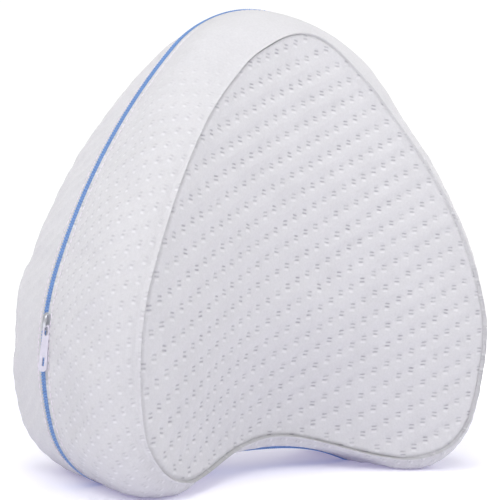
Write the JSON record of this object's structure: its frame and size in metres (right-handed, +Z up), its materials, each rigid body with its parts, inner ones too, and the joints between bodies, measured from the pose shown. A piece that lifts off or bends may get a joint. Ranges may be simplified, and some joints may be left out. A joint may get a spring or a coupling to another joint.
{
  "type": "knee pillow",
  "caption": "Contoured knee pillow: a rounded triangle of filled cushion with a leg channel down each face, in a zipped dotted knit cover.",
  "frame": {"origin": "on the floor under the middle of the pillow, half way through its thickness", "axes": "+Z up to the apex, X across the two lobes, -Y out of the front face, and the zip runs in the plane Y = 0"},
  "size_m": [0.2531, 0.128, 0.2505],
  "materials": {
    "knit_cover": "soft white double knit with woven-in dots",
    "zip_tape": "blue coil zip and tape",
    "zip_metal": "satin grey",
    "pull_enamel": "pale enamel, slightly glossy"
  },
  "bodies": {
    "root": {"front_panel": "knit_cover", "back_panel": "knit_cover", "front_band": "knit_cover", "back_band": "knit_cover", "zip_chain": "zip_tape", "zip_slider": "zip_metal", "zip_pull": "pull_enamel"}
  },
  "joints": []
}
